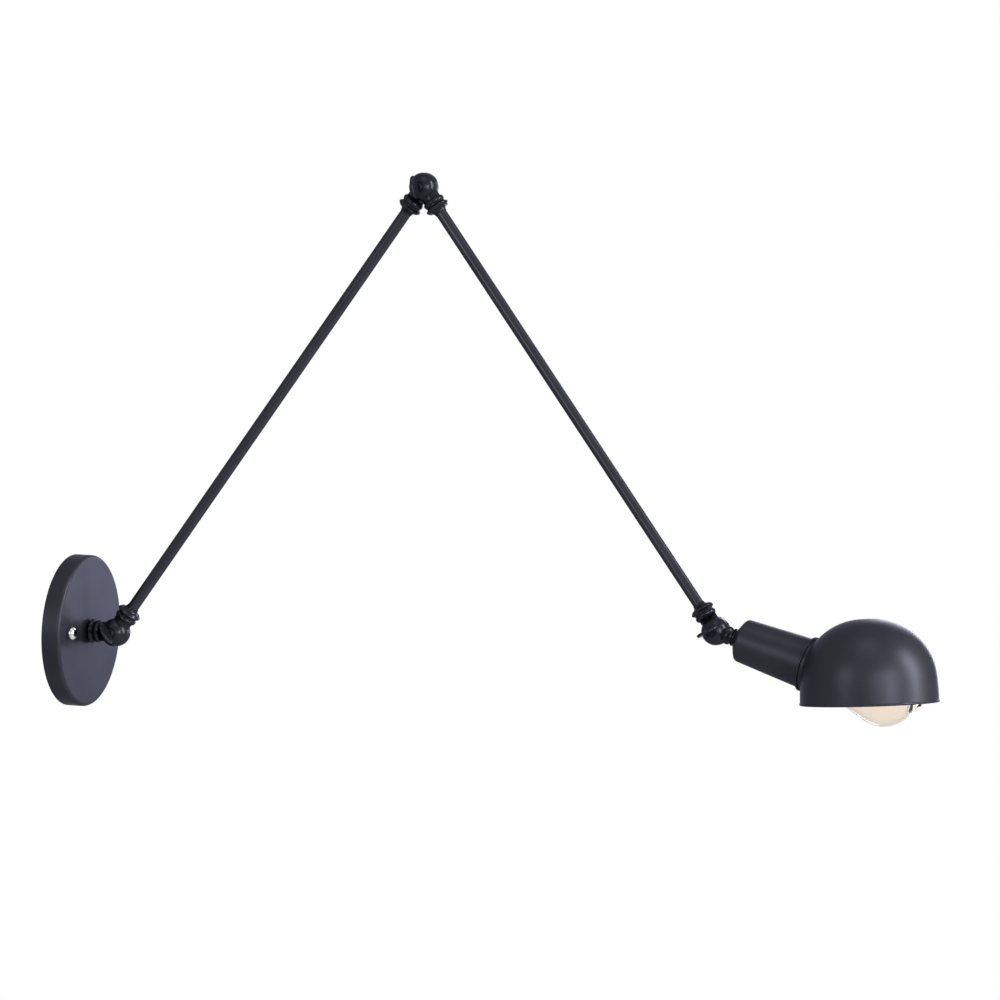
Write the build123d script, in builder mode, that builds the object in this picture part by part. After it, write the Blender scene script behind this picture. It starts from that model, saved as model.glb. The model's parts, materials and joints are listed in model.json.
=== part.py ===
"""Two-arm wall lamp with ball swivels, built as separate pieces in millimetres.

The wall is the plane X = 0 and the lamp reaches out along +X, with +Z up. Both arms lie in the
plane Y = 0, and the three swivels turn about axes parallel to Y, with their thumb screws on the
-Y side.
"""

import os
from math import asin, atan2, cos, degrees, hypot, pi, radians, sin, sqrt

from build123d import *

os.makedirs("parts", exist_ok=True)

# Wall plate: a drum-shaped canopy over a flat crossbar
CANOPY_RADIUS = 63.5
CANOPY_DEPTH = 16.0
CANOPY_WALL = 1.6
CANOPY_EDGE = 3.0
CANOPY_LIP = 0.6
STUD_SPACING = 88.9
STUD_RADIUS = 2.05
STUD_TAIL = 0.4
CAP_NUT_RADIUS = 5.5
CAP_NUT_SKIRT = 3.2
CAP_NUT_HEIGHT = 6.4
CAP_NUT_CROWN = 1.2
BAR_LENGTH = 106.0
BAR_WIDTH = 22.0
BAR_THICKNESS = 2.0
BAR_CENTRE_HOLE = 6.5
WALL_HOLE_SPACING = 69.8
WALL_HOLE_RADIUS = 2.5
GROUND_SCREW_PLACE = 19.0
GROUND_SCREW_RADIUS = 1.9
GROUND_HEAD_RADIUS = 4.2
GROUND_HEAD_HEIGHT = 2.4
TERMINAL_START = 12.0
TERMINAL_LENGTH = 15.0
TERMINAL_WIDTH = 19.0
TERMINAL_HEIGHT = 9.5
TERMINAL_POLES = 2
TERMINAL_WELL_RADIUS = 2.2
TERMINAL_WELL_DEPTH = 5.0
TERMINAL_ENTRY_RADIUS = 1.6

# Threaded nipples, their nuts and washers
NIPPLE_RADIUS = 4.85
NIPPLE_BORE = 3.1
NUT_ACROSS_FLATS = 14.0
NUT_HEIGHT = 4.0
SEAT_WASHER_RADIUS = 9.0
SEAT_WASHER_THICKNESS = 1.0
NIPPLE_TAIL = 2.5

# Ball swivels
BALL_RADIUS = 11.8
BALL_RIM = 1.5
BASE_REACH = 39.5
SEAM = 0.6
PAD_WIDTH = 2.6
CAVITY_DEPTH = 4.8
BOSS_RADIUS = 3.8
PIVOT_RADIUS = 2.0
PIVOT_END = 9.0
SPOT_RADIUS = 4.6
SPOT_HEIGHT = 12.0
NECK_RADIUS = 8.0
COLLAR_START = 13.4
BEAD_RADIUS = 9.3
BEAD_LENGTH = 4.4
GROOVE_RADIUS = 8.3
GROOVE_LENGTH = 0.9
FLANGE_RADIUS = 10.3
FLANGE_LENGTH = 4.2
FLANGE_ROOT = 8.7
TIP_HALF_LENGTH = 0.7
TAPER_LENGTH = 3.7
TAPER_END_WALL = 0.4
TUBE_SOCKET_DEPTH = 8.0
SOCKET_FLOOR = 1.2

# Thumb screws
BLADE_HALF_SPAN = 9.45
BLADE_HALF_DEPTH = 7.0
BLADE_THICKNESS = 2.4
BLADE_LIFT = 1.8
HUB_RADIUS = 4.0
HUB_HEIGHT = 3.4

# Arms
LOWER_ARM_LENGTH = 467.5
OUTER_ARM_LENGTH = 446.0
TUBE_RADIUS = 4.75
TUBE_WALL = 1.2
LEAD_RADIUS = 2.7
LEAD_PASSAGE = 3.0

# Rest pose, degrees above or below the horizontal
LOWER_ARM_RISE = 55.5
OUTER_ARM_FALL = 52.2
HEAD_FALL = 15.4
BASE_BLADE_TURN = -57.0
ELBOW_BLADE_TURN = 101.0
HEAD_BLADE_TURN = 29.0

# Lampholder and its cup, along the cup's axis from the head swivel
HEAD_NECK_RADIUS = 7.6
WAIST_RADIUS = 6.4
HEAD_RING_RADIUS = 7.4
HEAD_RING_PLACE = 16.2
CUP_START = 17.8
CUP_REAR_RADIUS = 18.0
CUP_SHOULDER_LENGTH = 6.6
CUP_SHOULDER_FILLET = 3.0
CUP_MOUTH_RADIUS = 21.05
CUP_MOUTH = 83.2
CUP_WALL = 1.2
CUP_BOSS = 3.7
TRIM_RING_RADIUS = 23.1
TRIM_RING_LENGTH = 2.0
HOLDER_START = 34.0
HOLDER_END = 89.0
HOLDER_RADIUS = 16.4
HOLDER_BORE = 14.2
HOLDER_FLOOR = 8.0
RING_NUT_RADIUS = 20.4
RING_NUT_LENGTH = 4.0
RING_NUT_NOTCHES = 8
NOTCH_WIDTH = 3.0
NOTCH_DEPTH = 1.4
SHELL_WALL = 0.4
SHELL_LENGTH = 26.0
CONTACT_RADIUS = 5.0
CONTACT_SPRING = 0.8

# Bulb, along the same axis
BULB_START = 45.0
BULB_TIP_RADIUS = 4.5
BULB_INSULATOR_LENGTH = 5.0
BULB_CAP_RADIUS = 13.0
BULB_CAP_WALL = 0.4
BULB_CAP_LENGTH = 24.0
GLASS_NECK_RADIUS = 12.3
GLASS_NECK_END = 78.0
GLASS_FLARE_END = 90.0
GLASS_FLARE_RADIUS = 13.6
GLOBE_PLACE = 153.5
GLOBE_RADIUS = 28.9
GLASS_WALL = 0.9
PIP_END = 187.9
PIP_RADIUS = 2.2
PIP_ANGLE = 25.0
STEM_END = 112.0
STEM_RADIUS = 3.0
STEM_BUTTON = 3.8
STEM_FLARE_LENGTH = 10.0
FILAMENT_START = 100.0
FILAMENT_END = 150.0
FILAMENT_NEAR_RADIUS = 9.0
FILAMENT_FAR_RADIUS = 13.0
FILAMENT_STRANDS = 10
FILAMENT_WIRE = 0.3
FILAMENT_OVERRUN = 0.45

# Shade
SHADE_RADIUS = 57.0
SHADE_HEIGHT = 69.1
SHADE_WALL = 1.2
SHADE_PITCH = 19.6
SHADE_ALONG = 145.0
SHADE_DROP = 13.4
SIDE_RISE = 22.0
SIDE_LEAN = 5.6
RIM_BEAD_RADIUS = 1.1
SHADE_COLLAR_RADIUS = 21.9
SHADE_LIP_THICKNESS = 1.0
SHADE_COLLAR_REACH = 20.0

# Depth of a concave curve's middle, as a share of its fall
HOLLOW = 0.3

# Length of the shade's flat crown, as a share of its shoulder
CROWN_SHARE = 0.06

# Turns in degrees
QUARTER_TURN = 90
HALF_TURN = 180

# Clearances
RUNNING = 0.05
SEATED = 0.1
LOOSE = 0.3
OVERCUT = 1.0


def direction(angle):
    """Unit vector in the plane Y = 0, at an angle in degrees above +X."""
    return Vector(cos(radians(angle)), 0, sin(radians(angle)))


def swivel_plane(centre, angle):
    """Plane at a swivel's centre: X runs along the arm, and Z is the hinge axis, towards -Y."""
    return Plane(origin=centre, x_dir=direction(angle), z_dir=(0, -1, 0))


def arm_axis(frame):
    """Centre line of whatever is turned about the frame's X direction."""
    return Axis(frame.origin, frame.x_dir)


def station(frame, distance):
    """Plane square to the frame's X direction, at a distance along it."""
    return Plane(origin=frame.from_local_coords((distance, 0, 0)), z_dir=frame.x_dir, x_dir=frame.z_dir)


def finish(builder, label):
    """Names one piece and writes it to its own file."""
    builder.part.label = label
    export_step(builder.part, f"parts/{label}.step")


base_centre = Vector(BASE_REACH, 0, 0)
elbow_centre = base_centre + direction(LOWER_ARM_RISE) * LOWER_ARM_LENGTH
head_centre = elbow_centre + direction(-OUTER_ARM_FALL) * OUTER_ARM_LENGTH

base_frame = swivel_plane(base_centre, HALF_TURN)
lower_foot = swivel_plane(base_centre, LOWER_ARM_RISE)
lower_top = swivel_plane(elbow_centre, LOWER_ARM_RISE + HALF_TURN)
outer_foot = swivel_plane(elbow_centre, -OUTER_ARM_FALL)
outer_top = swivel_plane(head_centre, HALF_TURN - OUTER_ARM_FALL)
head_frame = swivel_plane(head_centre, -HEAD_FALL)

# Places along an arm, from the centre of the swivel that it ends in
bead_end = COLLAR_START + BEAD_LENGTH
groove_end = bead_end + GROOVE_LENGTH
flange_end = groove_end + FLANGE_LENGTH
collar_end = flange_end + TAPER_LENGTH
tube_start = collar_end - TUBE_SOCKET_DEPTH
cavity_radius = BALL_RADIUS - PAD_WIDTH
passage_start = (BOSS_RADIUS + cavity_radius) / 2
insert_start = COLLAR_START + SOCKET_FLOOR
ball_reach = BALL_RADIUS + BALL_RIM

# Places across the wall plate
canopy_inside = CANOPY_DEPTH - CANOPY_WALL
nut_seat = canopy_inside - SEAT_WASHER_THICKNESS
nipple_inner_end = nut_seat - NUT_HEIGHT - NIPPLE_TAIL
nipple_outer_end = BASE_REACH - insert_start - LOOSE
nipple_fit = NIPPLE_RADIUS + RUNNING
stud_fit = STUD_RADIUS + RUNNING
stud_end = CANOPY_DEPTH + CAP_NUT_HEIGHT - CAP_NUT_CROWN - LOOSE


def stud_places():
    return GridLocations(STUD_SPACING, 0, 2, 1)


# Planes parallel to the wall: local X runs along +Y and local Y along +Z
def wall_plane(distance):
    return Plane(origin=(distance, 0, 0), x_dir=(0, 1, 0), z_dir=(1, 0, 0))


# Canopy, a spun drum, open at the back, with a small turned-in foot
with BuildPart() as canopy:
    with BuildSketch(wall_plane(0)):
        Circle(CANOPY_RADIUS)
    extrude(amount=CANOPY_DEPTH)
    fillet(canopy.edges().group_by(Axis.X)[-1], CANOPY_EDGE)
    offset(amount=-CANOPY_WALL, openings=canopy.faces().sort_by(Axis.X)[0])
    with BuildSketch(wall_plane(0)):
        Circle(CANOPY_RADIUS)
        Circle(CANOPY_RADIUS - CANOPY_WALL - CANOPY_LIP, mode=Mode.SUBTRACT)
    extrude(amount=CANOPY_WALL)
    with BuildSketch(wall_plane(canopy_inside)):
        Circle(nipple_fit)
        with stud_places():
            Circle(STUD_RADIUS + LOOSE)
    extrude(amount=CANOPY_WALL, mode=Mode.SUBTRACT)
finish(canopy, "canopy")

# Crossbar that screws to the wall box and carries the two canopy studs
with BuildPart() as crossbar:
    with BuildSketch(wall_plane(0)):
        SlotOverall(BAR_LENGTH, BAR_WIDTH)
        Circle(BAR_CENTRE_HOLE, mode=Mode.SUBTRACT)
        with stud_places():
            Circle(stud_fit, mode=Mode.SUBTRACT)
        with GridLocations(WALL_HOLE_SPACING, 0, 2, 1):
            Circle(WALL_HOLE_RADIUS, mode=Mode.SUBTRACT)
        with Locations((-GROUND_SCREW_PLACE, 0)):
            Circle(GROUND_SCREW_RADIUS + RUNNING, mode=Mode.SUBTRACT)
    extrude(amount=BAR_THICKNESS)
finish(crossbar, "crossbar")

with BuildPart() as canopy_studs:
    with BuildSketch(wall_plane(STUD_TAIL)):
        with stud_places():
            Circle(STUD_RADIUS)
    extrude(amount=stud_end - STUD_TAIL)
finish(canopy_studs, "canopy_studs")

# Domed cap nuts: a round skirt, a crown and a blind hole
with BuildPart() as cap_nuts:
    with BuildSketch(wall_plane(CANOPY_DEPTH)):
        with stud_places():
            Circle(CAP_NUT_RADIUS)
    extrude(amount=CAP_NUT_HEIGHT)
    crown_edges = cap_nuts.edges().group_by(Axis.X)[-1]
    fillet(crown_edges, CAP_NUT_HEIGHT - CAP_NUT_SKIRT)
    with BuildSketch(wall_plane(CANOPY_DEPTH)):
        with stud_places():
            Circle(stud_fit)
    extrude(amount=CAP_NUT_HEIGHT - CAP_NUT_CROWN, mode=Mode.SUBTRACT)
finish(cap_nuts, "cap_nuts")

# Ground screw, threaded into the crossbar, with a slotted pan head
with BuildPart() as ground_screw:
    with BuildSketch(wall_plane(STUD_TAIL)):
        with Locations((-GROUND_SCREW_PLACE, 0)):
            Circle(GROUND_SCREW_RADIUS)
    extrude(amount=BAR_THICKNESS - STUD_TAIL)
    with BuildSketch(wall_plane(BAR_THICKNESS)):
        with Locations((-GROUND_SCREW_PLACE, 0)):
            Circle(GROUND_HEAD_RADIUS)
    extrude(amount=GROUND_HEAD_HEIGHT)
    fillet(ground_screw.edges().group_by(Axis.X)[-1], GROUND_HEAD_HEIGHT / 3)
    with BuildSketch(wall_plane(BAR_THICKNESS + GROUND_HEAD_HEIGHT / 2)):
        with Locations((-GROUND_SCREW_PLACE, 0)):
            Rectangle(2 * GROUND_HEAD_RADIUS, GROUND_HEAD_HEIGHT / 3)
    extrude(amount=GROUND_HEAD_HEIGHT / 2, mode=Mode.SUBTRACT)
finish(ground_screw, "ground_screw")

# Terminal block on the crossbar: one screw well and one wire entry for each pole
terminal_middle = TERMINAL_START + TERMINAL_LENGTH / 2
terminal_top = BAR_THICKNESS + TERMINAL_HEIGHT
pole_pitch = TERMINAL_WIDTH / TERMINAL_POLES
with BuildPart() as terminal_block:
    with BuildSketch(wall_plane(BAR_THICKNESS)):
        with Locations((terminal_middle, 0)):
            Rectangle(TERMINAL_LENGTH, TERMINAL_WIDTH)
    extrude(amount=TERMINAL_HEIGHT)
    chamfer(terminal_block.edges().group_by(Axis.X)[-1], TERMINAL_HEIGHT / 12)
    with BuildSketch(wall_plane(terminal_top - TERMINAL_WELL_DEPTH)):
        with Locations((terminal_middle, 0)):
            with GridLocations(0, pole_pitch, 1, TERMINAL_POLES):
                Circle(TERMINAL_WELL_RADIUS)
    extrude(amount=TERMINAL_WELL_DEPTH, mode=Mode.SUBTRACT)
    entry_height = BAR_THICKNESS + (TERMINAL_HEIGHT - TERMINAL_WELL_DEPTH) / 2
    entry_plane = Plane(origin=(entry_height, TERMINAL_START, 0), x_dir=(0, 0, 1), z_dir=(0, 1, 0))
    with BuildSketch(entry_plane):
        with GridLocations(pole_pitch, 0, TERMINAL_POLES, 1):
            Circle(TERMINAL_ENTRY_RADIUS)
    extrude(amount=TERMINAL_LENGTH, mode=Mode.SUBTRACT)
finish(terminal_block, "terminal_block")


def pipe(plane, outer, inner, length):
    """Round tube along the plane's normal."""
    with BuildPart() as tube:
        with BuildSketch(plane):
            Circle(outer)
            Circle(inner, mode=Mode.SUBTRACT)
        extrude(amount=length)
    return tube


def hex_nut(plane):
    """Plain hexagon nut that fits the nipples, standing on the plane."""
    with BuildPart() as nut:
        with BuildSketch(plane):
            RegularPolygon(NUT_ACROSS_FLATS / 2, 6, major_radius=False)
            Circle(nipple_fit, mode=Mode.SUBTRACT)
        extrude(amount=NUT_HEIGHT)
    return nut


base_nipple = pipe(
    wall_plane(nipple_inner_end), NIPPLE_RADIUS, NIPPLE_BORE, nipple_outer_end - nipple_inner_end
)
finish(base_nipple, "base_nipple")
seat_washer = pipe(wall_plane(nut_seat), SEAT_WASHER_RADIUS, nipple_fit, SEAT_WASHER_THICKNESS)
finish(seat_washer, "seat_washer")
base_lock_nut = hex_nut(wall_plane(nut_seat - NUT_HEIGHT))
finish(base_lock_nut, "base_lock_nut")


def arm_collar_profile():
    """Half outline of an arm's collar: neck, bead, groove, pointed flange and hollow taper."""
    end_radius = TUBE_RADIUS + RUNNING + TAPER_END_WALL
    tip = groove_end + FLANGE_LENGTH / 2
    tip_side = FLANGE_RADIUS - TIP_HALF_LENGTH / 2
    bead_top = (COLLAR_START + BEAD_LENGTH / 2, BEAD_RADIUS)
    taper_middle = (
        flange_end + TAPER_LENGTH * HOLLOW,
        end_radius + (FLANGE_ROOT - end_radius) * HOLLOW,
    )
    with BuildSketch() as outline:
        with BuildLine():
            Polyline((0, 0), (0, NECK_RADIUS), (COLLAR_START, NECK_RADIUS))
            ThreePointArc((COLLAR_START, NECK_RADIUS), bead_top, (bead_end, GROOVE_RADIUS))
            Polyline(
                (bead_end, GROOVE_RADIUS), (groove_end, GROOVE_RADIUS), (tip - TIP_HALF_LENGTH, tip_side)
            )
            ThreePointArc(
                (tip - TIP_HALF_LENGTH, tip_side), (tip, FLANGE_RADIUS), (tip + TIP_HALF_LENGTH, tip_side)
            )
            Line((tip + TIP_HALF_LENGTH, tip_side), (flange_end, FLANGE_ROOT))
            ThreePointArc((flange_end, FLANGE_ROOT), taper_middle, (collar_end, end_radius))
            Polyline((collar_end, end_radius), (collar_end, 0), (0, 0))
        make_face()
    return outline.sketch


def head_collar_profile():
    """Half outline of the head's slim neck: waist, thin ring and a short seat for the cup."""
    ring_half = (CUP_START - HEAD_RING_PLACE) / 2
    with BuildSketch() as outline:
        with BuildLine():
            Polyline(
                (0, 0),
                (0, HEAD_NECK_RADIUS),
                (COLLAR_START - ring_half, HEAD_NECK_RADIUS),
                (COLLAR_START + ring_half, WAIST_RADIUS),
                (HEAD_RING_PLACE - ring_half, WAIST_RADIUS),
                (HEAD_RING_PLACE - ring_half / 3, HEAD_RING_RADIUS),
                (HEAD_RING_PLACE + ring_half / 3, HEAD_RING_RADIUS),
                (HEAD_RING_PLACE + ring_half, WAIST_RADIUS),
                (CUP_START, WAIST_RADIUS),
                (CUP_START, 0),
                (0, 0),
            )
        make_face()
    return outline.sketch


def swivel_half(frame, profile, front, socket_start, socket_radius):
    """Half of a ball with the whole collar of the arm that it belongs to.

    The front half lies on the frame's +Z side and lets the thumb screw through. The rear half
    lies on the -Z side and holds the thread. Both are hollow round the screw for the lead, and
    each has a short straight rim next to the seam.
    """
    seam_side = SEAM / 2 if front else -SEAM / 2
    room = ball_reach + OVERCUT
    pole = 1 if front else -1
    with BuildPart(frame) as half:
        with BuildSketch(frame):
            add(profile)
        revolve(axis=arm_axis(frame))
        with BuildSketch(frame):
            Circle(BALL_RADIUS)
        extrude(amount=pole * BALL_RIM)
        with Locations((0, 0, pole * BALL_RIM)):
            Sphere(BALL_RADIUS)
        with Locations(((COLLAR_START - room) / 2, 0, seam_side - pole * room / 2)):
            Box(COLLAR_START + room, 2 * room, room, mode=Mode.SUBTRACT)
        with BuildSketch(frame.offset(seam_side)):
            Circle(cavity_radius)
            Circle(BOSS_RADIUS, mode=Mode.SUBTRACT)
        extrude(amount=pole * CAVITY_DEPTH, mode=Mode.SUBTRACT)
        with BuildSketch(station(frame, passage_start)):
            Circle(LEAD_PASSAGE)
        extrude(amount=socket_start - passage_start, mode=Mode.SUBTRACT)
        with BuildSketch(frame):
            Circle(BOSS_RADIUS)
        extrude(amount=pole * BOSS_RADIUS * 2)
        with Locations((0, 0, seam_side - pole * room / 2)):
            Cylinder(BOSS_RADIUS + OVERCUT, room, mode=Mode.SUBTRACT)
        with BuildSketch(station(frame, socket_start)):
            Circle(socket_radius)
        extrude(amount=collar_end - socket_start, mode=Mode.SUBTRACT)
        with BuildSketch(frame):
            Circle(PIVOT_RADIUS + RUNNING)
        extrude(amount=pole * (room if front else PIVOT_END + LOOSE), mode=Mode.SUBTRACT)
        if front:
            with BuildSketch(frame.offset(SPOT_HEIGHT)):
                Circle(SPOT_RADIUS)
            extrude(amount=room - SPOT_HEIGHT, mode=Mode.SUBTRACT)
    return half


def friction_washer(frame):
    """Thin ring that fills the seam between the two halves of a ball."""
    return pipe(frame.offset(-SEAM / 2), BALL_RADIUS - LOOSE, cavity_radius, SEAM)


def thumb_screw(frame, blade_turn):
    """Clamping screw along the hinge axis: pivot shank, round hub and a flat oval blade."""
    blade_middle = SPOT_HEIGHT + BLADE_LIFT + BLADE_HALF_DEPTH
    blade_normal = direction(blade_turn + QUARTER_TURN)
    blade_plane = Plane(
        origin=frame.from_local_coords((0, 0, blade_middle)),
        x_dir=direction(blade_turn),
        z_dir=blade_normal,
    )
    with BuildPart() as screw:
        with BuildSketch(blade_plane):
            Ellipse(BLADE_HALF_SPAN, BLADE_HALF_DEPTH)
        extrude(amount=BLADE_THICKNESS / 2, both=True)
        rounding = BLADE_THICKNESS / 3
        fillet(screw.edges().filter_by(GeomType.ELLIPSE), rounding)
        with BuildSketch(frame.offset(SPOT_HEIGHT)):
            Circle(HUB_RADIUS)
        extrude(amount=HUB_HEIGHT, taper=degrees(atan2(HUB_RADIUS / 4, HUB_HEIGHT)))
        with BuildSketch(frame.offset(-PIVOT_END)):
            Circle(PIVOT_RADIUS)
        extrude(amount=PIVOT_END + SPOT_HEIGHT + HUB_HEIGHT / 2)
    return screw


# Swivel at the wall: the rear half is screwed to the nipple and stands flat on the canopy
arm_collar = arm_collar_profile()
whole_base_knuckle = swivel_half(base_frame, arm_collar, False, insert_start, nipple_fit)
with BuildPart() as base_knuckle:
    add(whole_base_knuckle.part)
    split(bisect_by=wall_plane(CANOPY_DEPTH), keep=Keep.TOP)
finish(base_knuckle, "base_knuckle")
base_lead = pipe(
    wall_plane(nipple_inner_end), LEAD_RADIUS, LEAD_RADIUS / 2, nipple_outer_end - nipple_inner_end
)
finish(base_lead, "base_lead")


def make_arm(name, foot, top, length):
    """A straight arm: front half at its foot, rear half at its top, the tube and its lead."""
    tube_fit = TUBE_RADIUS + RUNNING
    finish(swivel_half(foot, arm_collar, True, tube_start, tube_fit), f"{name}_foot_knuckle")
    finish(swivel_half(top, arm_collar, False, tube_start, tube_fit), f"{name}_top_knuckle")
    tube_length = length - 2 * tube_start
    tube = pipe(station(foot, tube_start), TUBE_RADIUS, TUBE_RADIUS - TUBE_WALL, tube_length)
    finish(tube, f"{name}_tube")
    lead_length = length - 2 * insert_start
    lead = pipe(station(foot, insert_start), LEAD_RADIUS, LEAD_RADIUS / 2, lead_length)
    finish(lead, f"{name}_lead")


make_arm("lower_arm", lower_foot, lower_top, LOWER_ARM_LENGTH)
make_arm("outer_arm", outer_foot, outer_top, OUTER_ARM_LENGTH)

swivels = {
    "base": (lower_foot, BASE_BLADE_TURN),
    "elbow": (outer_foot, ELBOW_BLADE_TURN),
    "head": (head_frame, HEAD_BLADE_TURN),
}
for place, (frame, blade_turn) in swivels.items():
    finish(friction_washer(frame), f"{place}_friction_washer")
    finish(thumb_screw(frame, blade_turn), f"{place}_thumb_screw")

# Head: swivel half, nipple and nut, then the cup over the lampholder
head_collar = head_collar_profile()
head_knuckle = swivel_half(head_frame, head_collar, True, insert_start, nipple_fit)
finish(head_knuckle, "head_knuckle")
head_nipple_length = HOLDER_START + HOLDER_FLOOR / 2 - insert_start
head_nipple = pipe(station(head_frame, insert_start), NIPPLE_RADIUS, NIPPLE_BORE, head_nipple_length)
finish(head_nipple, "head_nipple")
head_lead = pipe(station(head_frame, insert_start), LEAD_RADIUS, LEAD_RADIUS / 2, head_nipple_length)
finish(head_lead, "head_lead")
cup_floor = CUP_START + CUP_BOSS
head_lock_nut = hex_nut(station(head_frame, cup_floor))
finish(head_lock_nut, "head_lock_nut")


def cup_radius(distance):
    """Outside radius of the cup's long taper at a distance from the head swivel."""
    shoulder_end = CUP_START + CUP_SHOULDER_LENGTH
    share = (distance - shoulder_end) / (CUP_MOUTH - shoulder_end)
    return CUP_REAR_RADIUS + share * (CUP_MOUTH_RADIUS - CUP_REAR_RADIUS)


with BuildPart() as lampholder_cup:
    shoulder_end = CUP_START + CUP_SHOULDER_LENGTH
    with BuildSketch(head_frame):
        with BuildLine():
            Polyline(
                (CUP_START, 0),
                (CUP_START, WAIST_RADIUS),
                (shoulder_end, CUP_REAR_RADIUS),
                (CUP_MOUTH, CUP_MOUTH_RADIUS),
                (CUP_MOUTH, 0),
                (CUP_START, 0),
            )
        make_face()
    revolve(axis=arm_axis(head_frame))
    shoulder_edge = lampholder_cup.edges().filter_by(GeomType.CIRCLE).sort_by(arm_axis(head_frame))[1]
    fillet(shoulder_edge, CUP_SHOULDER_FILLET)
    inner_shoulder = cup_floor + (CUP_REAR_RADIUS - CUP_WALL - NUT_ACROSS_FLATS * 0.7) * 0.6
    with BuildSketch(head_frame):
        with BuildLine():
            Polyline(
                (cup_floor, 0),
                (cup_floor, NUT_ACROSS_FLATS * 0.7),
                (inner_shoulder, cup_radius(inner_shoulder) - CUP_WALL),
                (CUP_MOUTH, CUP_MOUTH_RADIUS - CUP_WALL),
                (CUP_MOUTH, 0),
                (cup_floor, 0),
            )
        make_face()
    revolve(axis=arm_axis(head_frame), mode=Mode.SUBTRACT)
    with BuildSketch(station(head_frame, CUP_START)):
        Circle(nipple_fit)
    extrude(amount=CUP_BOSS, mode=Mode.SUBTRACT)
finish(lampholder_cup, "lampholder_cup")

# Lampholder body, a thick sleeve with a floor that is screwed onto the nipple
with BuildPart() as lampholder_body:
    with BuildSketch(station(head_frame, HOLDER_START)):
        Circle(HOLDER_RADIUS)
        Circle(nipple_fit, mode=Mode.SUBTRACT)
    extrude(amount=HOLDER_END - HOLDER_START)
    with BuildSketch(station(head_frame, HOLDER_START + HOLDER_FLOOR)):
        Circle(HOLDER_BORE)
    extrude(amount=HOLDER_END - HOLDER_START - HOLDER_FLOOR, mode=Mode.SUBTRACT)
finish(lampholder_body, "lampholder_body")

holder_inside = HOLDER_START + HOLDER_FLOOR
shell_outside = HOLDER_BORE - SEATED
screw_shell = pipe(station(head_frame, holder_inside), shell_outside, shell_outside - SHELL_WALL, SHELL_LENGTH)
finish(screw_shell, "screw_shell")

with BuildPart() as centre_contact:
    with BuildSketch(station(head_frame, holder_inside)):
        Rectangle(CONTACT_RADIUS * 3, CONTACT_RADIUS * 1.2)
    extrude(amount=CONTACT_SPRING)
    with BuildSketch(station(head_frame, holder_inside)):
        Circle(CONTACT_RADIUS / 2)
    extrude(amount=BULB_START - holder_inside)
finish(centre_contact, "centre_contact")

# Trim ring between cup and shade, and the notched ring nut that clamps the shade from inside
holder_fit = HOLDER_RADIUS + SEATED
trim_end = CUP_MOUTH + TRIM_RING_LENGTH
with BuildPart() as trim_ring:
    with BuildSketch(station(head_frame, CUP_MOUTH)):
        Circle(TRIM_RING_RADIUS)
        Circle(holder_fit, mode=Mode.SUBTRACT)
    extrude(amount=TRIM_RING_LENGTH)
    rim_edges = trim_ring.edges().filter_by(GeomType.CIRCLE).sort_by(SortBy.RADIUS)[-2:]
    fillet(rim_edges, TRIM_RING_LENGTH / 3)
finish(trim_ring, "trim_ring")

ring_nut_start = trim_end + SHADE_LIP_THICKNESS
with BuildPart() as ring_nut:
    with BuildSketch(station(head_frame, ring_nut_start)):
        Circle(RING_NUT_RADIUS)
        Circle(holder_fit, mode=Mode.SUBTRACT)
        with PolarLocations(RING_NUT_RADIUS, RING_NUT_NOTCHES):
            Rectangle(2 * NOTCH_DEPTH, NOTCH_WIDTH, mode=Mode.SUBTRACT)
    extrude(amount=RING_NUT_LENGTH)
finish(ring_nut, "ring_nut")

# Shade: a deep dome on its own axis, pitched against the cup's axis
shade_frame = Plane(
    origin=head_frame.from_local_coords((SHADE_ALONG, -SHADE_DROP, 0)),
    x_dir=direction(SHADE_PITCH - HEAD_FALL),
    z_dir=direction(SHADE_PITCH - HEAD_FALL + QUARTER_TURN),
)
shade_section = Plane(origin=shade_frame.origin, x_dir=shade_frame.x_dir, z_dir=(0, -1, 0))


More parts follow.
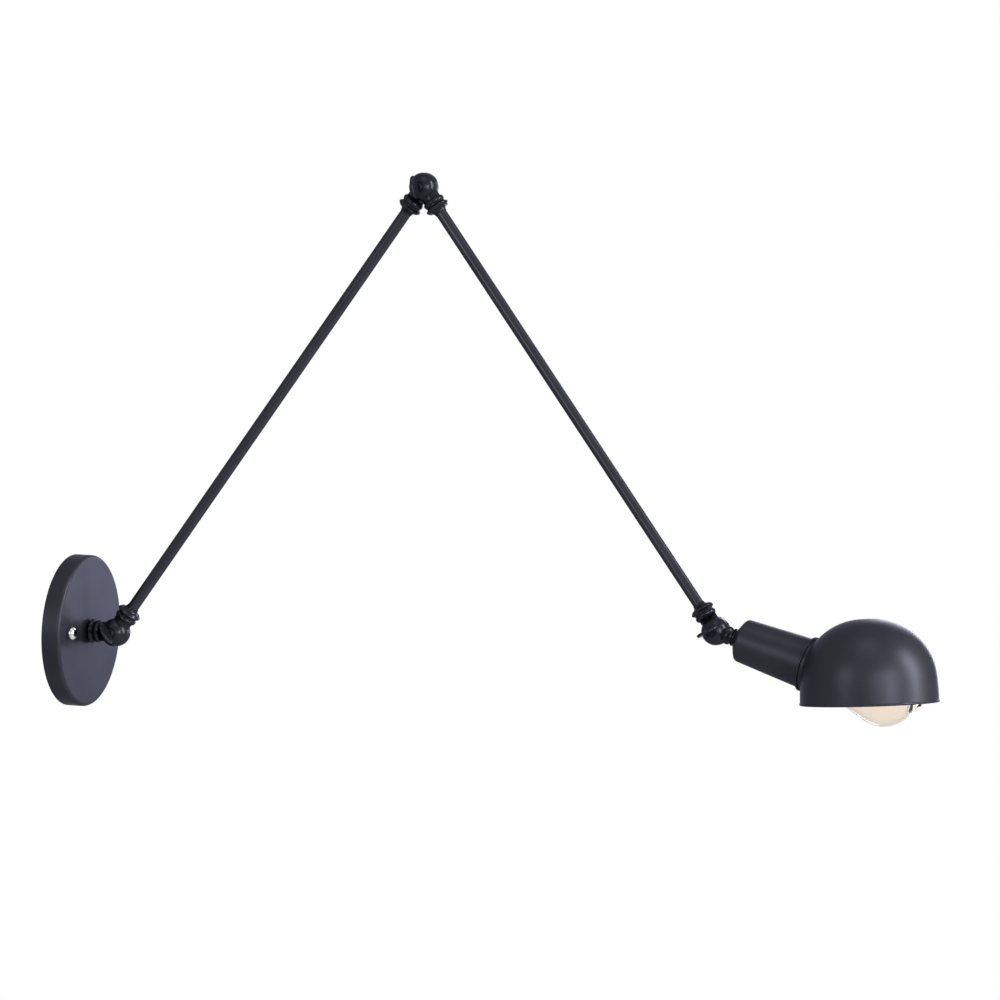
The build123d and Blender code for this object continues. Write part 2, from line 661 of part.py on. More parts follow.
def dome_profile(inset):
    """Half outline of the dome: a near-upright side, a round shoulder and a short flat crown.

    The three arcs meet in tangents, and an inset keeps their centres.
    """
    lean = radians(SIDE_LEAN)
    side_radius = SIDE_RISE / sin(lean)
    side = (SHADE_RADIUS - side_radius, 0)
    side_end = (side[0] + side_radius * cos(lean), SIDE_RISE)
    climb = SHADE_HEIGHT - SIDE_RISE
    spread = side_end[0]

    # Tangent lengths of the two upper arcs, which share their joint in a fixed ratio
    square = 2 * CROWN_SHARE * (1 - sin(lean))
    middle = 2 * (spread * (sin(lean) + CROWN_SHARE) + climb * cos(lean))
    tangent = 2 * (spread**2 + climb**2) / (middle + sqrt(middle**2 + 4 * square * (spread**2 + climb**2)))
    joint_x = CROWN_SHARE * (spread - tangent * sin(lean) + tangent) / (1 + CROWN_SHARE)
    joint_z = (CROWN_SHARE * (SIDE_RISE + tangent * cos(lean)) + SHADE_HEIGHT) / (1 + CROWN_SHARE)

    step_in = spread - joint_x
    step_up = joint_z - SIDE_RISE
    shoulder_radius = (step_in**2 + step_up**2) / (2 * (step_in * cos(lean) - step_up * sin(lean)))
    shoulder = (spread - shoulder_radius * cos(lean), SIDE_RISE - shoulder_radius * sin(lean))
    crown_radius = (joint_x**2 + (SHADE_HEIGHT - joint_z)**2) / (2 * (SHADE_HEIGHT - joint_z))
    crown = (0, SHADE_HEIGHT - crown_radius)
    crown_angle = atan2(joint_z - crown[1], joint_x)

    def on_arc(centre, radius, angle):
        return (centre[0] + (radius - inset) * cos(angle), centre[1] + (radius - inset) * sin(angle))

    rim = on_arc(side, side_radius, 0)
    turn = on_arc(side, side_radius, lean)
    crest = on_arc(shoulder, shoulder_radius, crown_angle)
    top = on_arc(crown, crown_radius, pi / 2)
    with BuildSketch() as outline:
        with BuildLine():
            ThreePointArc(rim, on_arc(side, side_radius, lean / 2), turn)
            ThreePointArc(turn, on_arc(shoulder, shoulder_radius, (lean + crown_angle) / 2), crest)
            ThreePointArc(crest, on_arc(crown, crown_radius, (crown_angle + pi / 2) / 2), top)
            Polyline(top, (0, 0), rim)
        make_face()
    return outline.sketch


shade_axis = Axis(shade_frame.origin, shade_frame.z_dir)
dome_outside = dome_profile(0)
dome_inside = dome_profile(SHADE_WALL)
with BuildPart() as shade:
    with BuildSketch(shade_section):
        add(dome_outside)
    revolve(axis=shade_axis)
    with BuildSketch(station(head_frame, trim_end)):
        Circle(SHADE_COLLAR_RADIUS)
    extrude(amount=SHADE_COLLAR_REACH)
    with BuildSketch(shade_section):
        add(dome_inside)
    revolve(axis=shade_axis, mode=Mode.SUBTRACT)
    with BuildSketch(station(head_frame, ring_nut_start)):
        Circle(SHADE_COLLAR_RADIUS - SHADE_WALL)
    extrude(amount=SHADE_COLLAR_REACH, mode=Mode.SUBTRACT)
    with BuildSketch(station(head_frame, CUP_MOUTH)):
        Circle(holder_fit)
    extrude(amount=TRIM_RING_LENGTH + SHADE_LIP_THICKNESS, mode=Mode.SUBTRACT)
    with BuildSketch(shade_section):
        with Locations((SHADE_RADIUS - RIM_BEAD_RADIUS / 2, RIM_BEAD_RADIUS)):
            Circle(RIM_BEAD_RADIUS)
    revolve(axis=shade_axis)
finish(shade, "shade")

# Bulb: contact, insulator, screw cap, blown glass with a drawn tip, stem and filament
bulb_cap_start = BULB_START + BULB_INSULATOR_LENGTH
with BuildPart() as bulb_contact:
    with BuildSketch(head_frame):
        with BuildLine():
            Polyline(
                (BULB_START, 0),
                (BULB_START, BULB_TIP_RADIUS / 2),
                (BULB_START + BULB_INSULATOR_LENGTH / 3, BULB_TIP_RADIUS),
                (bulb_cap_start, BULB_CAP_RADIUS - BULB_CAP_WALL - SEATED),
                (bulb_cap_start, 0),
                (BULB_START, 0),
            )
        make_face()
    revolve(axis=arm_axis(head_frame))
finish(bulb_contact, "bulb_contact")

bulb_cap = pipe(
    station(head_frame, bulb_cap_start), BULB_CAP_RADIUS, BULB_CAP_RADIUS - BULB_CAP_WALL, BULB_CAP_LENGTH
)
finish(bulb_cap, "bulb_cap")


def glass_profile(inset, start, tip):
    """Half outline of the glass: neck, flare, long taper, globe and the drawn tip."""
    globe = GLOBE_RADIUS - inset
    reach = GLOBE_PLACE - GLASS_FLARE_END
    flare_radius = GLASS_FLARE_RADIUS - inset
    taper = asin(globe / hypot(reach, flare_radius)) - atan2(flare_radius, reach)
    tangent = (GLOBE_PLACE - globe * sin(taper), globe * cos(taper))
    top = (GLOBE_PLACE, globe)
    tip_angle = radians(PIP_ANGLE)
    tip_root = (GLOBE_PLACE + globe * cos(tip_angle), globe * sin(tip_angle))
    neck = GLASS_NECK_RADIUS - inset
    middle = (GLOBE_PLACE + globe * cos(pi / 4), globe * sin(pi / 4))
    pip_root = (PIP_END - PIP_RADIUS, PIP_RADIUS)
    pip_side = (PIP_END - PIP_RADIUS + PIP_RADIUS * sin(pi / 4), PIP_RADIUS * cos(pi / 4))
    end = (PIP_END, 0) if tip else (GLOBE_PLACE + globe, 0)
    with BuildSketch() as outline:
        with BuildLine():
            Polyline((start, 0), (start, neck), (GLASS_NECK_END, neck), (GLASS_FLARE_END, flare_radius), tangent)
            ThreePointArc(tangent, (GLOBE_PLACE - globe * sin(taper / 2), globe * cos(taper / 2)), top)
            if tip:
                ThreePointArc(top, middle, tip_root)
                Line(tip_root, pip_root)
                ThreePointArc(pip_root, pip_side, end)
            else:
                ThreePointArc(top, middle, end)
            Line(end, (start, 0))
        make_face()
    return outline.sketch


glass_start = bulb_cap_start + BULB_CAP_LENGTH - BULB_CAP_RADIUS / 2
glass_outside = glass_profile(0, glass_start, True)
glass_inside = glass_profile(GLASS_WALL, glass_start - OVERCUT, False)
with BuildPart() as bulb_glass:
    with BuildSketch(head_frame):
        add(glass_outside)
    revolve(axis=arm_axis(head_frame))
    with BuildSketch(head_frame):
        add(glass_inside)
    revolve(axis=arm_axis(head_frame), mode=Mode.SUBTRACT)
finish(bulb_glass, "bulb_glass")

# Glass stem: a flare that seals the neck, a rod and a button
flare_outside = GLASS_NECK_RADIUS - GLASS_WALL - SEATED
with BuildPart() as bulb_stem:
    with BuildSketch(head_frame):
        with BuildLine():
            Line((glass_start, 0), (glass_start, flare_outside))
            ThreePointArc(
                (glass_start, flare_outside),
                (glass_start + STEM_FLARE_LENGTH * 0.3, STEM_RADIUS + (flare_outside - STEM_RADIUS) * 0.3),
                (glass_start + STEM_FLARE_LENGTH, STEM_RADIUS),
            )
            Polyline(
                (glass_start + STEM_FLARE_LENGTH, STEM_RADIUS),
                (STEM_END - STEM_BUTTON, STEM_RADIUS),
                (STEM_END - STEM_BUTTON / 2, STEM_BUTTON),
                (STEM_END, STEM_RADIUS),
                (STEM_END, 0),
                (glass_start, 0),
            )
        make_face()
    revolve(axis=arm_axis(head_frame))
finish(bulb_stem, "bulb_stem")


def filament_point(index):
    """Turning points of the filament, near the stem and near the tip by turns."""
    angle = 2 * pi * index / FILAMENT_STRANDS
    far = index % 2
    along = FILAMENT_END if far else FILAMENT_START
    out = FILAMENT_FAR_RADIUS if far else FILAMENT_NEAR_RADIUS
    return head_frame.from_local_coords((along, out * cos(angle), out * sin(angle)))


# Filament: a cage of slanting strands that overrun their joints, with short arms from the stem
with BuildPart() as filament:
    for index in range(FILAMENT_STRANDS):
        start = filament_point(index)
        end = filament_point(index + 1)
        along = (end - start).normalized()
        with BuildSketch(Plane(origin=start - along * FILAMENT_OVERRUN, z_dir=along)):
            Circle(FILAMENT_WIRE)
        extrude(amount=(end - start).length + 2 * FILAMENT_OVERRUN)
        if index % 2 == 0:
            foot = head_frame.from_local_coords((FILAMENT_START, 0, 0))
            spoke = start - foot
            inner = foot + spoke.normalized() * (STEM_RADIUS + SEATED)
            with BuildSketch(Plane(origin=inner, z_dir=spoke)):
                Circle(FILAMENT_WIRE)
            extrude(amount=(start - inner).length + FILAMENT_OVERRUN)
finish(filament, "filament")
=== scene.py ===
"""Studio scene for the swing arm wall lamp: camera, lights, finishes and the fine detail."""

import json
import math

import bmesh
import bpy
from mathutils import Matrix, Vector


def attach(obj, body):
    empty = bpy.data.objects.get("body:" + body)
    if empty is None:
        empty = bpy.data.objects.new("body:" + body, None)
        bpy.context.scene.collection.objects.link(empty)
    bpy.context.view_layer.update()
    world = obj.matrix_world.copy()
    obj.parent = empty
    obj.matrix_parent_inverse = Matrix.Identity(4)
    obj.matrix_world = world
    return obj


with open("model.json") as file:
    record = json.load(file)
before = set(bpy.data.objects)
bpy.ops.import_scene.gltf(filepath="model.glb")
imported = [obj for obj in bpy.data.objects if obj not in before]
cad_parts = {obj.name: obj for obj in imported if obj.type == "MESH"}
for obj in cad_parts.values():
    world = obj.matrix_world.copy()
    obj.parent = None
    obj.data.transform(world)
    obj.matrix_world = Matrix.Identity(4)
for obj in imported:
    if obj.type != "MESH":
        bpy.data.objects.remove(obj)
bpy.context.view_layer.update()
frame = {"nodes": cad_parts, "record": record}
nodes = frame["nodes"]
scene = bpy.context.scene
scene.view_settings.view_transform = "Standard"

# Camera: bearing from -Y towards +X, height above the horizon and roll, in degrees
CAMERA_BEARING = 22.022
CAMERA_HEIGHT = 3.112
CAMERA_ROLL = 2.089
CAMERA_DISTANCE = 9.0986
CAMERA_AIM = Vector((0.38235, 0.0, 0.12982))
CAMERA_RANGE = 60.0
SENSOR = 36.0
FRAME_WIDTH = 0.82593

# Colours
WHITE = (1.0, 1.0, 1.0, 1.0)
BLACK = (0.0, 0.0, 0.0)
COAT_DARK = Vector((0.0245, 0.0250, 0.0320))
COAT_LIGHT = Vector((0.0300, 0.0305, 0.0385))
COAT_EDGE_TINT = (0.35, 0.36, 0.45, 1.0)
FLOOR_COLOUR = (0.82, 0.82, 0.82)

# Finishes: how metallic and reflective the coat is, and the depths of the reliefs in metres
COAT_METALLIC = 0.6
COAT_SPECULAR = 0.10
PEEL_FINENESS = 500.0
PEEL_DEPTH = 0.00004
GRAIN_DEPTH = 0.00005
GLASS_IOR = 1.45

# Rest pose and arms, as in the solids: metres, and degrees above or below the horizontal
BASE_REACH = 0.0395
LOWER_ARM_LENGTH, LOWER_ARM_RISE = 0.4675, 55.5
OUTER_ARM_LENGTH, OUTER_ARM_FALL = 0.446, 52.2
HEAD_FALL = 15.4

# Bulb's cement: (along, radius) outline from the head swivel
CEMENT_OUTLINE = (
    (0.0737, 0.0127),
    (0.0737, 0.01305),
    (0.0741, 0.01325),
    (0.0747, 0.0129),
    (0.0749, 0.0124),
)
RING_SEGMENTS = 64

# Threads: steps in a turn, points over the crest, and the share of its height that a thread
# gains in a turn. Least height, sink and root are shares of the full height
THREAD_STEPS = 40
CREST_POINTS = 7
RUN_OUT_RATE = 1.5
LEAST_HEIGHT = 0.02
CREST_SINK = 0.02
ROOT_SINK = 0.3

# Clamp screws of the terminal block
TERMINAL_SCREW_DEPTH = 0.0073
TERMINAL_MIDDLE = 0.0195
TERMINAL_POLE_RISE = 0.00475
SCREW_SEGMENTS = 32
SCREW_EDGE_SHARE = 0.18
SCREW_EDGE_STEPS = 2

# Shares that tell apart the faces and edges of a screw's top
CUT_TOLERANCE = 1e-4
RIM_TOLERANCE = 1e-3
UPWARD = 0.9
INSIDE = 0.9
NEAR_TOP = 0.49

# Surroundings, with the floor under the lamp
AMBIENT = 0.12
FLOOR_DROP = 1.25
FLOOR_PLACE = (0.4, 0.0, -FLOOR_DROP)
FLOOR_SIZE = 9.0
FLOOR_SEGMENTS = 96
FLOOR_FADE_START = 1.0
FLOOR_GLOW = 0.2
FLOOR_ROUGHNESS = 0.8

# Lights
LAMP_MIDDLE = Vector((0.40, 0.0, 0.10))
PLATE_MIDDLE = Vector((0.0, 0.0, 0.0))
LIGHT_DISTANCE = 3.2
RAKE_DISTANCE = 1.25


def away(bearing, height):
    """Unit vector at a bearing from -Y towards +X and a height above the horizon, in degrees."""
    bearing = math.radians(bearing)
    height = math.radians(height)
    return Vector((
        math.sin(bearing) * math.cos(height),
        -math.cos(bearing) * math.cos(height),
        math.sin(height),
    ))


def camera_axes():
    """Right, up and backward unit vectors of the photo's camera."""
    bearing = math.radians(CAMERA_BEARING)
    roll = math.radians(CAMERA_ROLL)
    back = away(CAMERA_BEARING, CAMERA_HEIGHT)
    level = Vector((math.cos(bearing), math.sin(bearing), 0.0))
    rise = back.cross(level)
    right = level * math.cos(roll) + rise * math.sin(roll)
    up = rise * math.cos(roll) - level * math.sin(roll)
    return right, up, back


def add_camera():
    right, up, back = camera_axes()
    data = bpy.data.cameras.new("camera")
    data.sensor_width = SENSOR
    data.lens = SENSOR * CAMERA_DISTANCE / FRAME_WIDTH
    data.clip_end = CAMERA_RANGE
    camera = bpy.data.objects.new("camera", data)
    scene.collection.objects.link(camera)
    turn = Matrix((right, up, back)).transposed().to_4x4()
    camera.matrix_world = Matrix.Translation(CAMERA_AIM + back * CAMERA_DISTANCE) @ turn
    scene.camera = camera


# Node helpers
def new_material(name):
    material = bpy.data.materials.new(name)
    material.use_nodes = True
    tree = material.node_tree
    shader = tree.nodes["Principled BSDF"]
    return material, tree, shader


def link(tree, source, target):
    tree.links.new(source, target)


def noise(tree, scale, detail=3.0):
    """Noise in the piece's own coordinates, in cells per metre."""
    place = tree.nodes.new("ShaderNodeTexCoord")
    node = tree.nodes.new("ShaderNodeTexNoise")
    node.inputs["Scale"].default_value = scale
    node.inputs["Detail"].default_value = detail
    link(tree, place.outputs["Object"], node.inputs["Vector"])
    return node.outputs["Fac"]


def ramp(tree, factor, first, last, start=0.3, end=0.7):
    """Colour that runs from the first to the last while the factor goes from start to end."""
    node = tree.nodes.new("ShaderNodeValToRGB")
    stops = ((start, first), (end, last))
    for element, (position, colour) in zip(node.color_ramp.elements, stops):
        element.position = position
        element.color = (*colour, 1.0)
    link(tree, factor, node.inputs["Fac"])
    return node.outputs["Color"]


def spread(tree, factor, low, high):
    """Maps a 0 to 1 factor onto low to high."""
    node = tree.nodes.new("ShaderNodeMapRange")
    node.inputs["To Min"].default_value = low
    node.inputs["To Max"].default_value = high
    link(tree, factor, node.inputs["Value"])
    return node.outputs["Result"]


def bump(tree, shader, height, strength, distance):
    node = tree.nodes.new("ShaderNodeBump")
    node.inputs["Strength"].default_value = strength
    node.inputs["Distance"].default_value = distance
    link(tree, height, node.inputs["Height"])
    link(tree, node.outputs["Normal"], shader.inputs["Normal"])


# Finishes
def mottled(name, cloud, dark, light, sheen, low, high, metallic=0.0, stops=(0.3, 0.7)):
    """Material with clouds in its colour and its roughness, and its tree and shader.

    The colour runs from dark to light and the roughness from low to high. Cloud and sheen say
    how fine each is, in cells per metre, and stops where the noise reaches dark and light.
    """
    material, tree, shader = new_material(name)
    colour = ramp(tree, noise(tree, cloud), dark, light, *stops)
    link(tree, colour, shader.inputs["Base Color"])
    link(tree, spread(tree, noise(tree, sheen), low, high), shader.inputs["Roughness"])
    shader.inputs["Metallic"].default_value = metallic
    return material, tree, shader


def smooth_finish(name, **finish):
    """Mottled material without a relief."""
    material, _, _ = mottled(name, **finish)
    return material


def grained_finish(name, fineness, strength, **finish):
    """Mottled material with a fine grain, in cells per metre."""
    material, tree, shader = mottled(name, **finish)
    bump(tree, shader, noise(tree, fineness), strength, GRAIN_DEPTH)
    return material


def black_coat(name, tone, low, high, peel):
    """Satin black coat with a blue metallic cast and a fine orange peel.

    Tone scales its colour, and low and high are its roughnesses.
    """
    material, tree, shader = mottled(
        name,
        cloud=26.0, dark=COAT_DARK * tone, light=COAT_LIGHT * tone,
        sheen=90.0, low=low, high=high, metallic=COAT_METALLIC,
    )
    shader.inputs["Specular IOR Level"].default_value = COAT_SPECULAR
    shader.inputs["Specular Tint"].default_value = COAT_EDGE_TINT
    bump(tree, shader, noise(tree, PEEL_FINENESS, 1.0), peel, PEEL_DEPTH)
    return material


def moulded(name, dark, light, low, high):
    """Plain moulded plastic, rubber or fibre with a fine grain."""
    return grained_finish(
        name, fineness=2200.0, strength=0.15,
        cloud=120.0, dark=dark, light=light, sheen=350.0, low=low, high=high,
    )


def bulb_glass():
    """Clear blown glass with a warm tint that varies a little in depth."""
    material, _, shader = mottled(
        "clear_glass",
        cloud=18.0, dark=(0.93, 0.85, 0.76), light=(0.96, 0.89, 0.81),
        sheen=60.0, low=0.0, high=0.02,
    )
    shader.inputs["Transmission Weight"].default_value = 1.0
    shader.inputs["IOR"].default_value = GLASS_IOR
    return material


brass = smooth_finish(
    "socket_brass",
    cloud=160.0, dark=(0.50, 0.33, 0.12), light=(0.66, 0.46, 0.19),
    sheen=420.0, low=0.22, high=0.36, metallic=1.0,
)
SLOT_MATERIALS = {
    "black_coat": black_coat("black_coat", tone=1.0, low=0.36, high=0.44, peel=0.10),
    "bright_chrome": smooth_finish(
        "bright_chrome",
        cloud=300.0, dark=(0.40, 0.41, 0.43), light=(0.52, 0.53, 0.55),
        sheen=700.0, low=0.06, high=0.14, metallic=1.0,
    ),
    "zinc_steel": grained_finish(
        "zinc_steel", fineness=1800.0, strength=0.10,
        cloud=220.0, dark=(0.42, 0.43, 0.43), light=(0.58, 0.58, 0.57),
        sheen=500.0, low=0.28, high=0.42, metallic=1.0, stops=(0.25, 0.75),
    ),
    "socket_brass": brass,
    "porcelain": smooth_finish(
        "porcelain",
        cloud=40.0, dark=(0.76, 0.74, 0.68), light=(0.82, 0.80, 0.75),
        sheen=180.0, low=0.12, high=0.22,
    ),
    "terminal_plastic": moulded(
        "terminal_plastic",
        dark=(0.60, 0.58, 0.52), light=(0.68, 0.66, 0.60), low=0.40, high=0.52,
    ),
    "lead_rubber": moulded(
        "lead_rubber",
        dark=(0.010, 0.010, 0.010), light=(0.016, 0.016, 0.016), low=0.50, high=0.65,
    ),
    "washer_fibre": moulded(
        "washer_fibre",
        dark=(0.030, 0.024, 0.018), light=(0.050, 0.040, 0.030), low=0.70, high=0.85,
    ),
    "clear_glass": bulb_glass(),
    "filament_wire": brass,
}

# The cast and turned pieces and the drawn tubes shine more than the sheet metal. The cast coat's
# darker tone is painted shade, and the tube coat's lighter tone is painted light
cast_coat_with_painted_shade = black_coat("black_coat_cast_painted_shade", tone=0.65, low=0.20, high=0.28, peel=0.04)
tube_coat_with_painted_light = black_coat("black_coat_tube_painted_light", tone=1.1, low=0.24, high=0.32, peel=0.04)


def dress_nodes():
    """Gives every carried node its slot's material, and the swivels and tubes shinier coats:
    darkened on the swivels as painted shade, lightened on the tubes as painted light.
    """
    for part in frame["record"]["subparts"]:
        name = part["node"]
        finish = SLOT_MATERIALS[part["material_slot"]]
        # Swivels and thumb screws take the darker coat with painted shade, and the tubes take
        # the lighter coat with painted light
        if name.endswith(("_knuckle", "_thumb_screw")):
            finish = cast_coat_with_painted_shade
        elif name.endswith("_arm_tube"):
            finish = tube_coat_with_painted_light
        data = nodes[name].data
        data.materials.clear()
        data.materials.append(finish)


# Fine detail, in metres. The head's frame follows the arms as the solids do
def direction(angle):
    """Unit vector in the plane Y = 0, at an angle in degrees above +X."""
    return Vector((math.cos(math.radians(angle)), 0.0, math.sin(math.radians(angle))))


def axis_frame(origin, along):
    """Matrix whose X runs along an axis from an origin."""
    across = Vector((0.0, -1.0, 0.0))
    turn = Matrix((along, across.cross(along), across)).transposed().to_4x4()
    return Matrix.Translation(origin) @ turn


HEAD_CENTRE = (
    Vector((BASE_REACH, 0.0, 0.0))
    + direction(LOWER_ARM_RISE) * LOWER_ARM_LENGTH
    + direction(-OUTER_ARM_FALL) * OUTER_ARM_LENGTH
)
HEAD_FRAME = axis_frame(HEAD_CENTRE, direction(-HEAD_FALL))
WALL_FRAME = axis_frame(Vector((0.0, 0.0, 0.0)), Vector((1.0, 0.0, 0.0)))


def add_piece(name, mesh_builder, body, slot, place, smooth=True):
    """Turns a bmesh into a piece that rides on a body and takes a slot's finish."""
    mesh = bpy.data.meshes.new(name)
    bmesh.ops.recalc_face_normals(mesh_builder, faces=mesh_builder.faces)
    bmesh.ops.transform(mesh_builder, matrix=place, verts=mesh_builder.verts)
    for face in mesh_builder.faces:
        face.smooth = smooth
    mesh_builder.to_mesh(mesh)
    mesh_builder.free()
    mesh.materials.append(SLOT_MATERIALS[slot])
    piece = bpy.data.objects.new(name, mesh)
    scene.collection.objects.link(piece)
    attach(piece, body)


def about_x(along, radius, angle):
    """Point at a distance along X, at a radius from it and an angle about it."""
    return along, radius * math.cos(angle), radius * math.sin(angle)


def join_rings(builder, first, second):
    """Band of faces between two closed rings with the same number of vertices."""
    for index in range(len(first)):
        after = (index + 1) % len(first)
        builder.faces.new((first[index], first[after], second[after], second[index]))


def thread(radius, start, length, pitch, height):
    """Round-crested screw thread on a cylinder about X, which runs out at both ends."""
    builder = bmesh.new()
    turns = length / pitch
    steps = round(turns * THREAD_STEPS)
    root = radius - ROOT_SINK * height
    rings = []
    for step in range(steps + 1):
        share = step / steps
        angle = 2 * math.pi * turns * share
        run_out = min(1.0, RUN_OUT_RATE * turns * share, RUN_OUT_RATE * turns * (1 - share))
        middle = start + length * share
        ring = []
        for index in range(CREST_POINTS):
            across = index / (CREST_POINTS - 1) - 0.5
            crest = 0.5 + 0.5 * math.cos(2 * math.pi * across)
            rise = height * max(run_out, LEAST_HEIGHT) * crest
            reach = radius - CREST_SINK * height + rise
            ring.append(builder.verts.new(about_x(middle + across * pitch, reach, angle)))
        for across in (0.5, -0.5):
            ring.append(builder.verts.new(about_x(middle + across * pitch, root, angle)))
        rings.append(ring)
    for first, second in zip(rings, rings[1:]):
        join_rings(builder, first, second)
    builder.faces.new(rings[0])
    builder.faces.new(rings[-1])
    return builder


def turned(profile):
    """Closed ring turned about X from an (along, radius) outline."""
    builder = bmesh.new()
    rings = []
    for segment in range(RING_SEGMENTS):
        angle = 2 * math.pi * segment / RING_SEGMENTS
        rings.append([
            builder.verts.new(about_x(along, radius, angle)) for along, radius in profile
        ])
    for first, second in zip(rings, rings[1:] + rings[:1]):
        join_rings(builder, first, second)
    return builder


def slotted_head(radius, height, slot_width, slot_depth):
    """Cheese-head screw top along X with a rounded edge and a driver's slot."""
    builder = bmesh.new()
    bmesh.ops.create_cone(
        builder, cap_ends=True, segments=SCREW_SEGMENTS,
        radius1=radius, radius2=radius, depth=height,
    )
    half = slot_width / 2
    for side in (-half, half):
        bmesh.ops.bisect_plane(
            builder, geom=builder.verts[:] + builder.edges[:] + builder.faces[:],
            plane_co=(side, 0, 0), plane_no=(1, 0, 0), dist=radius * CUT_TOLERANCE,
        )
    top = [
        face for face in builder.faces
        if face.normal.z > UPWARD and abs(face.calc_center_median().x) < half * INSIDE
    ]
    sunk = bmesh.ops.extrude_discrete_faces(builder, faces=top)["faces"]
    for face in sunk:
        for vert in face.verts:
            vert.co.z -= slot_depth

    def on_rim(vert):
        off_circle = abs(math.hypot(vert.co.x, vert.co.y) - radius)
        return off_circle < radius * RIM_TOLERANCE and vert.co.z > height * NEAR_TOP

    rim = [edge for edge in builder.edges if all(on_rim(vert) for vert in edge.verts)]
    bmesh.ops.bevel(
        builder, geom=rim, offset=height * SCREW_EDGE_SHARE,
        segments=SCREW_EDGE_STEPS, affect="EDGES",
    )
    upright = Matrix.Rotation(math.radians(90), 4, "Y")
    bmesh.ops.transform(builder, matrix=upright, verts=builder.verts)
    return builder


def add_details():
    # Rolled thread of the screw cap, and the cement that holds the glass in it
    cap_thread = thread(
        radius=0.0130, start=0.0535, length=0.0165, pitch=0.00363, height=0.00055,
    )
    add_piece("bulb_thread", cap_thread, "head", "socket_brass", HEAD_FRAME)
    add_piece("bulb_cement", turned(CEMENT_OUTLINE), "head", "porcelain", HEAD_FRAME)
    # Pipe thread on the tail of the nipple behind its lock nut
    pipe_thread = thread(
        radius=0.00485, start=0.0075, length=0.0014, pitch=0.00094, height=0.0003,
    )
    add_piece("base_nipple_thread", pipe_thread, "turret", "zinc_steel", WALL_FRAME)
    # Clamp screws in the wells of the terminal block
    poles = (
        ("terminal_screw_upper", TERMINAL_POLE_RISE),
        ("terminal_screw_lower", -TERMINAL_POLE_RISE),
    )
    for name, rise in poles:
        screw = slotted_head(radius=0.0019, height=0.0016, slot_width=0.0006, slot_depth=0.0007)
        place = Matrix.Translation((TERMINAL_SCREW_DEPTH, TERMINAL_MIDDLE, rise))
        add_piece(name, screw, "base", "zinc_steel", place, smooth=False)


def seen_directly(tree):
    """1 for rays from the camera, from a mirror surface or through glass, and 0 for others."""
    path = tree.nodes.new("ShaderNodeLightPath")
    seen = path.outputs["Is Camera Ray"]
    for kind in ("Is Glossy Ray", "Is Transmission Ray"):
        either = tree.nodes.new("ShaderNodeMath")
        either.operation = "MAXIMUM"
        link(tree, seen, either.inputs[0])
        link(tree, path.outputs[kind], either.inputs[1])
        seen = either.outputs[0]
    return seen


def add_world():
    """Even pale surroundings: white where they're seen, weaker where they light the lamp."""
    world = bpy.data.worlds.new("studio")
    scene.world = world
    world.use_nodes = True
    tree = world.node_tree
    background = tree.nodes["Background"]
    background.inputs["Color"].default_value = WHITE
    link(tree, spread(tree, seen_directly(tree), AMBIENT, 1.0), background.inputs["Strength"])


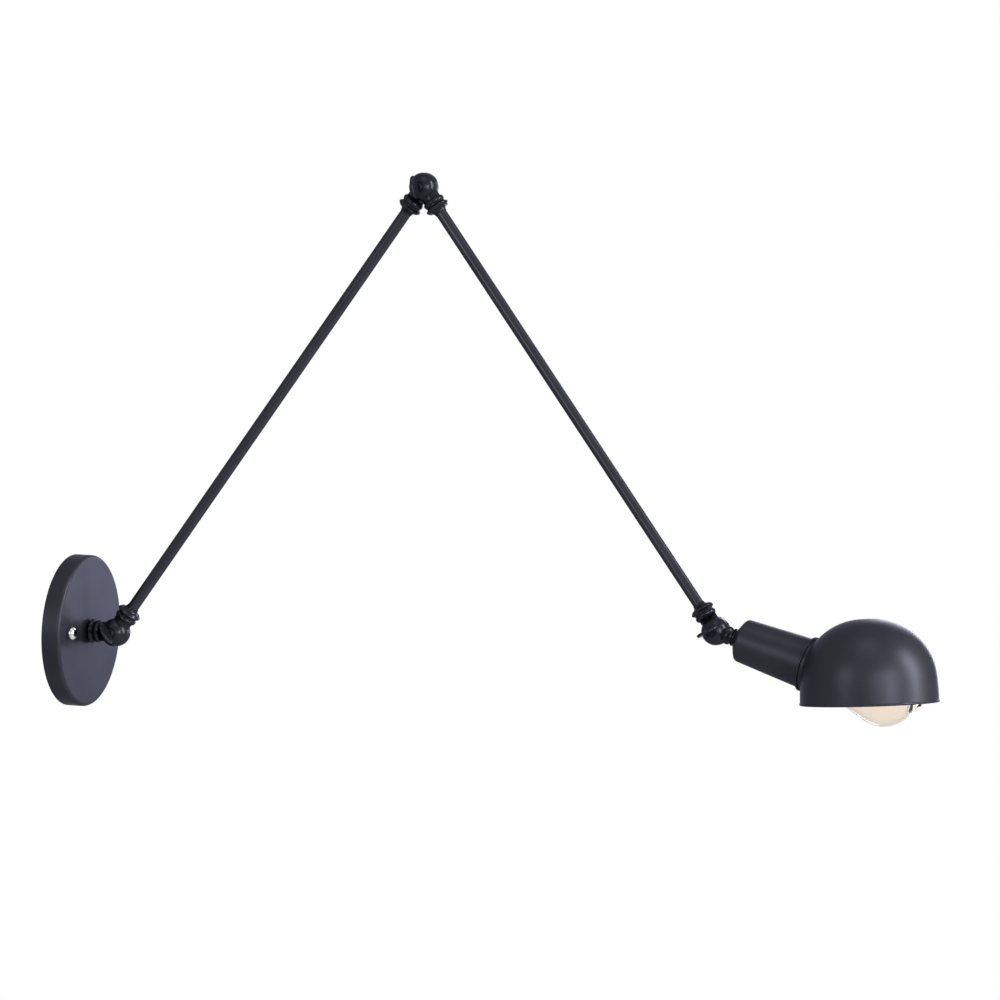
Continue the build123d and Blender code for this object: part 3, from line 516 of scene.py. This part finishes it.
def floor_material():
    """Pale floor that keeps the lamp's shadow and fades into the white surroundings."""
    material, tree, shader = new_material("floor")
    place = tree.nodes.new("ShaderNodeTexCoord")
    reach = tree.nodes.new("ShaderNodeVectorMath")
    reach.operation = "LENGTH"
    link(tree, place.outputs["Object"], reach.inputs[0])
    fade = tree.nodes.new("ShaderNodeMapRange")
    fade.interpolation_type = "SMOOTHSTEP"
    fade.inputs["From Min"].default_value = FLOOR_FADE_START
    fade.inputs["From Max"].default_value = FLOOR_SIZE / 2
    link(tree, reach.outputs["Value"], fade.inputs["Value"])
    fading = fade.outputs["Result"]
    pale = ramp(tree, fading, FLOOR_COLOUR, BLACK, 0.0, 1.0)
    link(tree, pale, shader.inputs["Base Color"])
    glow = tree.nodes.new("ShaderNodeMath")
    glow.operation = "MULTIPLY"
    link(tree, seen_directly(tree), glow.inputs[0])
    link(tree, spread(tree, fading, FLOOR_GLOW, 1.0), glow.inputs[1])
    shader.inputs["Emission Color"].default_value = WHITE
    link(tree, glow.outputs[0], shader.inputs["Emission Strength"])
    shader.inputs["Roughness"].default_value = FLOOR_ROUGHNESS
    shader.inputs["Specular IOR Level"].default_value = 0.0
    return material


def add_floor():
    """Round floor, whose own origin is its centre."""
    builder = bmesh.new()
    bmesh.ops.create_circle(
        builder, cap_ends=True, segments=FLOOR_SEGMENTS, radius=FLOOR_SIZE / 2
    )
    mesh = bpy.data.meshes.new("floor")
    builder.to_mesh(mesh)
    builder.free()
    mesh.materials.append(floor_material())
    plane = bpy.data.objects.new("floor", mesh)
    plane.location = FLOOR_PLACE
    scene.collection.objects.link(plane)


def add_area(name, turn, height, size, power, distance=LIGHT_DISTANCE, centre=LAMP_MIDDLE):
    """Soft rectangular lamp that faces a centre, which is the wall lamp's middle or its plate.

    It stands turn degrees to the right of the camera and height degrees above the horizon.
    Distance and size are in metres, power in watts.
    """
    data = bpy.data.lights.new(name, "AREA")
    data.shape = "RECTANGLE"
    data.size, data.size_y = size
    data.energy = power
    light = bpy.data.objects.new(name, data)
    scene.collection.objects.link(light)
    outward = away(CAMERA_BEARING + turn, height)
    light.rotation_mode = "QUATERNION"
    light.rotation_quaternion = outward.to_track_quat("Z", "Y")
    light.location = centre + outward * distance
    light.visible_camera = False


def add_lights():
    add_area("key", turn=80.0, height=20.0, size=(0.7, 2.6), power=145.0)
    add_area("side", turn=38.0, height=8.0, size=(0.8, 1.6), power=60.0)
    add_area("front", turn=16.0, height=8.0, size=(0.5, 0.8), power=12.0)
    add_area("left_fill", turn=-38.0, height=12.0, size=(0.9, 1.4), power=24.0)
    add_area("top", turn=0.0, height=70.0, size=(1.5, 1.5), power=14.0)
    add_area(
        "rake", turn=134.0, height=12.0, size=(0.4, 0.7), power=8.0,
        distance=RAKE_DISTANCE, centre=PLATE_MIDDLE,
    )


add_camera()
add_world()
dress_nodes()
add_details()
add_floor()
add_lights()
